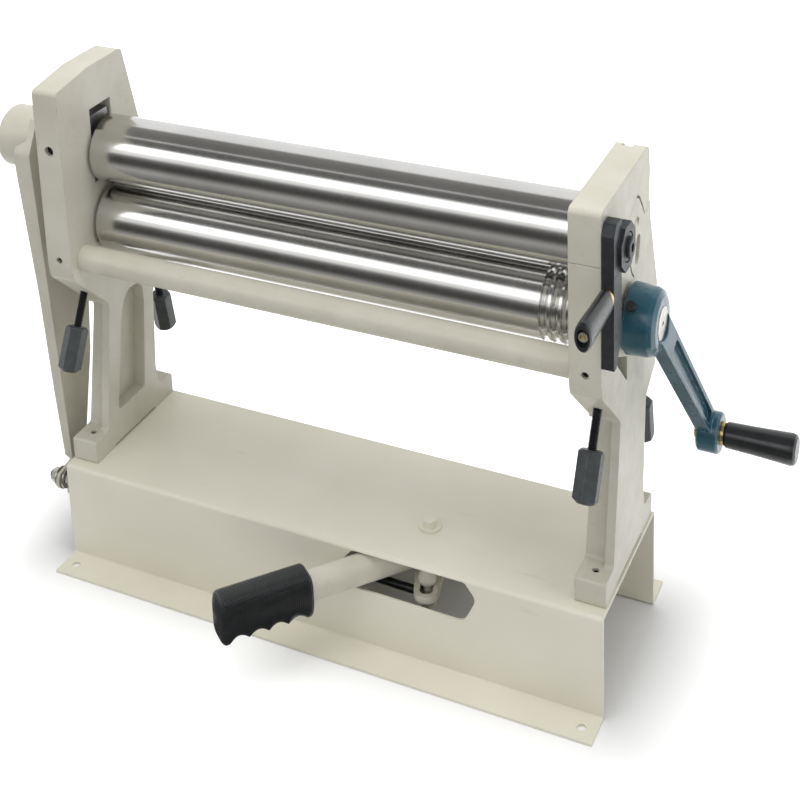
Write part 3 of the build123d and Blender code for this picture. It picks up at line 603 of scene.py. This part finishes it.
def floorPaper():
    # The glow is nought under the base and grows away from it, which paints shade on the floor under and
    # round the base; the real contact shadows also show in that painted shade
    paper = Finish("floorPaper", Roughness=0.9)
    setSockets(paper.shader, {"Base Color": (0.84, 0.84, 0.84, 1), "Emission Color": (1, 1, 1, 1)})
    source = paper.coord
    for operation, vector in (("ABSOLUTE", None), ("SUBTRACT", stage["footprint"]), ("MAXIMUM", None)):
        step = paper.add("ShaderNodeVectorMath", operation=operation)
        paper.link(source, step.inputs[0])
        if vector:
            step.inputs[1].default_value = vector
        source = step.outputs["Vector"]
    away = paper.add("ShaderNodeVectorMath", operation="LENGTH")
    paper.link(source, away.inputs[0])
    # Painted shade: less glow within this reach of the base's outline, so the floor is darker there
    paintedShadeGlow = paper.ramp(away.outputs["Value"], 0.0, stage["paintedShadeReach"], 0.0, stage["floorGlow"])
    far = paper.ramp(away.outputs["Value"], *stage["glowFar"], 0.0, 1.0 - stage["floorGlow"])
    both = paper.add("ShaderNodeMath", operation="ADD")
    paper.link(paintedShadeGlow, both.inputs[0])
    paper.link(far, both.inputs[1])
    glow = paper.times(both.outputs["Value"], seenRays(paper.tree))
    paper.link(glow, paper.shader.inputs["Emission Strength"])
    return paper.material


def cardBoard(name, axis, stops):
    # Shades along one axis, as (place in metres, shade) pairs
    board = Finish(name, Roughness=1.0)
    setSockets(board.shader, {"Base Color": (0, 0, 0, 1), "Specular IOR Level": 0.0})
    setSockets(board.shader, {"Emission Strength": 1.0})
    split = board.add("ShaderNodeSeparateXYZ")
    board.link(board.coord, split.inputs["Vector"])
    share = board.ramp(split.outputs[axis], stops[0][0], stops[-1][0])
    fade = board.add("ShaderNodeValToRGB")
    elements = fade.color_ramp.elements
    span = stops[-1][0] - stops[0][0]
    for i, (place, shade) in enumerate(stops):
        point = elements[i] if i < 2 else elements.new(1.0)
        point.position = (place - stops[0][0]) / span
        point.color = (shade, shade * 0.99, shade * 0.96, 1)
    board.link(share, fade.inputs["Fac"])
    board.link(fade.outputs["Color"], board.shader.inputs["Emission Color"])
    return board.material


def addCard(name, corners, axis, stops):
    # Dark to reflections only: neither the camera nor the light on the object meets it
    card = addSheet(name, corners, cardBoard(name + "Board", axis, stops))
    card.visible_camera = False
    card.visible_diffuse = False
    card.visible_shadow = False
    card.visible_transmission = False


def addWorld():
    world = bpy.data.worlds.new("studio")
    world.use_nodes = True
    bpy.context.scene.world = world
    tree = world.node_tree
    strength = tree.nodes.new("ShaderNodeMapRange")
    strength.inputs["To Min"].default_value = stage["worldLight"]
    strength.inputs["To Max"].default_value = 1.0
    tree.links.new(seenRays(tree), strength.inputs["Value"])
    back = tree.nodes["Background"]
    tree.links.new(strength.outputs["Result"], back.inputs["Strength"])
    back.inputs["Color"].default_value = (1, 1, 1, 1)


def addLamp(name, place, target, width, depth, power, mirrored):
    data = bpy.data.lights.new(name, "AREA")
    data.shape = "RECTANGLE"
    data.size = width
    data.size_y = depth
    data.energy = power
    obj = bpy.data.objects.new(name, data)
    obj.location = place
    aim = Vector(target) - Vector(place)
    obj.rotation_euler = aim.to_track_quat("-Z", "Y").to_euler()
    obj.visible_glossy = mirrored
    bpy.context.scene.collection.objects.link(obj)


stage = {
    "floorHalf": 6,
    "floorGap": 0.0002,
    "floorGlow": 0.55,
    # paintedShadeReach is how far the painted shade on the floor reaches out from the base
    "paintedShadeReach": 0.12,
    "glowFar": (0.3, 1.3),
    "worldLight": 0.42,
    # footprint is the base's outline; the floor under it has no glow, which is painted shade
    "footprint": (0.345, 0.10, 9.0),
    "cardLeft": -5,
    "cardRight": 3,
    "cardLift": 0.001,
    "topHeight": 2.95,
    "floorStops": [(-3.0, 0.05), (-1.5, 0.10), (-0.75, 0.45), (-0.35, 0.22), (-0.16, 0.06)],
    "frontStops": [(0.0, 0.05), (0.7, 0.10), (1.2, 0.32)],
    "topStops": [(-2.2, 0.10), (-0.6, 0.16), (1.25, 0.26)],
}
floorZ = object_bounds()[0][2] - stage["floorGap"]
half = stage["floorHalf"]
floorCorners = [(-half, -half, floorZ), (half, -half, floorZ), (half, half, floorZ), (-half, half, floorZ)]
addSheet("floor", floorCorners, floorPaper())
addWorld()


def levelCard(name, height, stops):
    left, right, front, back = stage["cardLeft"], stage["cardRight"], stops[0][0], stops[-1][0]
    corners = [(left, front, height), (right, front, height), (right, back, height), (left, back, height)]
    addCard(name, corners, "Y", stops)


def uprightCard(name, place, stops):
    left, right, low, high = stage["cardLeft"], stage["cardRight"], stops[0][0], stops[-1][0]
    corners = [(left, place, low), (right, place, low), (right, place, high), (left, place, high)]
    addCard(name, corners, "Z", stops)


levelCard("floorCard", stage["cardLift"], stage["floorStops"])
uprightCard("frontCard", stage["floorStops"][0][0], stage["frontStops"])
levelCard("topCard", stage["topHeight"], stage["topStops"])

lamps = {
    "topLamp": {
        "place": (0.1, 0.1, 2.7),
        "target": (0, 0.05, 0.3),
        "width": 2.6,
        "depth": 1.6,
        "power": 43,
        "mirrored": False,
    },
    "frontBox": {
        "place": (-1.0, -2.0, 1.9),
        "target": (-0.6, 0, 0.52),
        "width": 3.6,
        "depth": 0.80,
        "power": 12.5,
        "mirrored": True,
    },
    "stripLamp": {
        "place": (-1.0, -0.62, 2.5),
        "target": (-1.0, 0, 0.52),
        "width": 3.6,
        "depth": 0.11,
        "power": 1.1,
        "mirrored": True,
    },
    "sideLamp": {
        "place": (2.5, -0.2, 1.2),
        "target": (0.3, 0, 0.35),
        "width": 1.2,
        "depth": 1.5,
        "power": 11,
        "mirrored": False,
    },
}
for name, lamp in lamps.items():
    addLamp(name, **lamp)
print("stage")

bpy.context.scene.view_settings.view_transform = "Standard"
